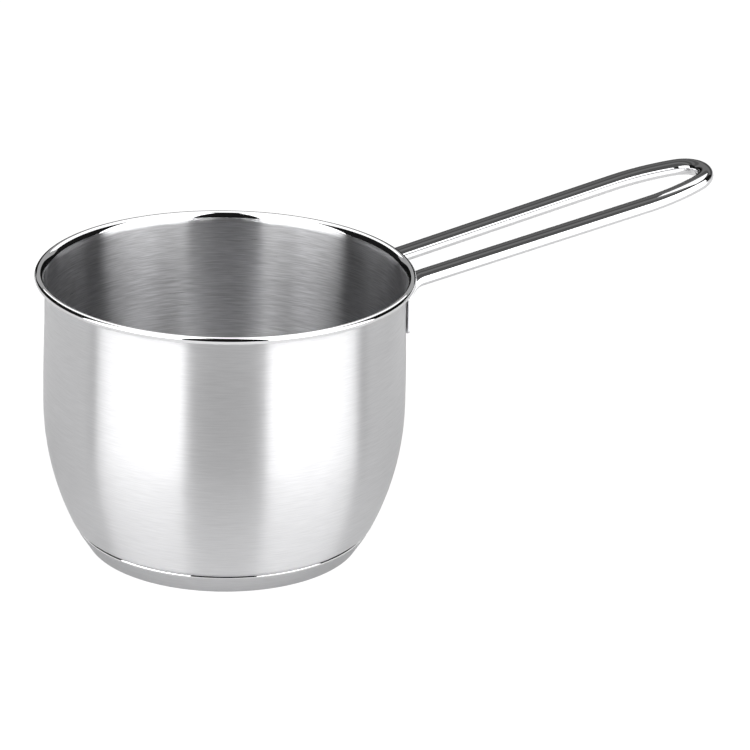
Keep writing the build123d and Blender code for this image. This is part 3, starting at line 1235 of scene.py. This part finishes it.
# %% [markdown]
# The boxes hardly reach the floor and the lower wall inside. A gridded lamp overhead lights
# the floor, and a row of narrow beams comes over the near rim onto the far wall. They soften
# the dark middle of the inside downwards, as in the photograph, and miss the outside.

# %% The lamp over the floor
OVERHEAD_HEIGHT = 0.6
OVERHEAD_SIZE = 0.1
OVERHEAD_LIGHT = 0.25
OVERHEAD_SPREAD = 20

overhead_lamp = panel(
    "inside_overhead_lamp", OVERHEAD_SIZE, OVERHEAD_SIZE, OVERHEAD_LIGHT, pan_only
)
overhead_lamp.data.shape = "DISK"
overhead_lamp.data.spread = math.radians(OVERHEAD_SPREAD)
overhead_lamp.location = (0, 0, OVERHEAD_HEIGHT)

# %% The beams for the far wall's inside
BEAM_DISTANCE = 0.6
BEAM_RISE = 48
BEAM_SIZE = 0.07
BEAM_SPREAD = 12
TARGET_BEHIND = 0.064
TARGET_ABOVE = 0.055

beam_target = photo_direction(BEHIND, 0) * TARGET_BEHIND + up_axis * TARGET_ABOVE
for turn, radiance in (
    (-37, 0.07), (-30, 0.15), (-23, 0.12), (-16, 0.11), (-9, 0.03),
    (9, 0.03), (16, 0.1), (23, 0.15), (30, 0.18),
):
    beam = panel(f"inside_beam_at_{turn}", BEAM_SIZE, BEAM_SIZE, radiance, shell_only)
    beam.data.spread = math.radians(BEAM_SPREAD)
    way = photo_direction(turn, BEAM_RISE)
    aim(beam, beam_target + way * BEAM_DISTANCE, way)

# %% [markdown]
# The rim and the lip of the cap are narrow mirrors. Their cards are lower, wider or nearer,
# until the bright line has the width that it has in the photograph. A darker card low at the
# back greys the two ends of the rim.

# %% Lamps for the cap and the rim
RIM_CARD = 1.2
RIM_CARD_HALF_TURN = 33

for name, turns, rises, distance, radiance, group in (
    ("cap_left_box", (-78, -21), (2, 25), FAR_BOX, 3.0, cap_only),
    ("cap_right_box", (28, 80), (2, 25), FAR_BOX, 2.0, cap_only),
    ("rim_left_box", (-86, -22), (2, 82), RIM_CARD, 2.0, rim_only),
    ("rim_right_box", (27, 97), (2, 82), RIM_CARD, 2.0, rim_only),
):
    soft_box(name, turns, rises, distance, radiance, group)
for name, rises, radiance in (
    ("rim_overhead_card", (31, 90), 1.3),
    ("rim_back_card", (15, 31), 0.36),
):
    overhead_card(name, rises, RIM_CARD_HALF_TURN, RIM_CARD, radiance, rim_only)

# %% [markdown]
# The handle is a mirror too. Its upper half shows the dark room, in which a few faint cards
# draw streaks along the rod. Its lower half shows the white table, and a card that lies low
# in front of the pan brightens it. One more panel, high at the right, is seen only where the
# rod turns round at the tip.

# %% Lamps for the handle
FAINT_CARD = 0.9
FAINT_CARD_HALF_TURN = 50

for name, turns, rises, distance, radiance in (
    ("handle_right_box", (14, 98), (-2, 28), FAR_BOX, 2.2),
    ("handle_left_box", (-80, -12), (-2, 28), FAR_BOX, 2.2),
    ("handle_tip_box", (86, 136), (38, 72), RIM_CARD, 1.2),
):
    soft_box(name, turns, rises, distance, radiance, handle_only)
for start, end, radiance in (
    (2, 28, 0.06), (28, 40, 0.15), (40, 52, 0.08), (52, 66, 0.13),
    (66, 84, 0.07), (84, 104, 0.16), (104, 154, 0.08),
):
    name = f"handle_card_at_{start}"
    overhead_card(name, (start, end), FAINT_CARD_HALF_TURN, FAINT_CARD, radiance, handle_only)
low_card(
    "handle_low_card", middle=(0.2, -0.93), width=1.6, depth=1.74, height=0.004,
    radiance=0.5, group=handle_only,
)

# %% [markdown]
# A black flag is a piece of black cloth on a stand. This one stands close behind the pan and
# gives the rim its dark outer line. The camera doesn't see it, and it casts no shadow. Its
# top is found from a rise above the rim, in degrees.

# %% The black flag
FLAG_DISTANCE = 0.3
FLAG_HALF_TURN = 34
FLAG_RISE = 16.5
CLOTH_BLACK = 0.005
CLOTH_ROUGHNESS = 1

flag_half_width = FLAG_DISTANCE * math.tan(math.radians(FLAG_HALF_TURN))
flag_height = pan_height * MILLIMETRE + FLAG_DISTANCE * math.tan(math.radians(FLAG_RISE))
flag_middle = photo_direction(BEHIND, 0) * FLAG_DISTANCE
flag_left = flag_middle - photo_right * flag_half_width
flag_right = flag_middle + photo_right * flag_half_width
flag_rise = up_axis * flag_height
black_cloth = bpy.data.materials.new("black_cloth")
black_cloth.use_nodes = True
cloth_shader = black_cloth.node_tree.nodes["Principled BSDF"]
cloth_shader.inputs["Base Color"].default_value = (CLOTH_BLACK, CLOTH_BLACK, CLOTH_BLACK, 1)
cloth_shader.inputs["Roughness"].default_value = CLOTH_ROUGHNESS
flag_corners = [flag_left, flag_right, flag_right + flag_rise, flag_left + flag_rise]
black_flag = flat_sheet("black_flag", flag_corners, black_cloth)
black_flag.visible_camera = False
black_flag.visible_shadow = False
black_flag.visible_diffuse = False

# %% [markdown]
# View settings stay plain, so that a colour is shown as it is written.

# %% Finish
bpy.context.scene.view_settings.view_transform = "Standard"
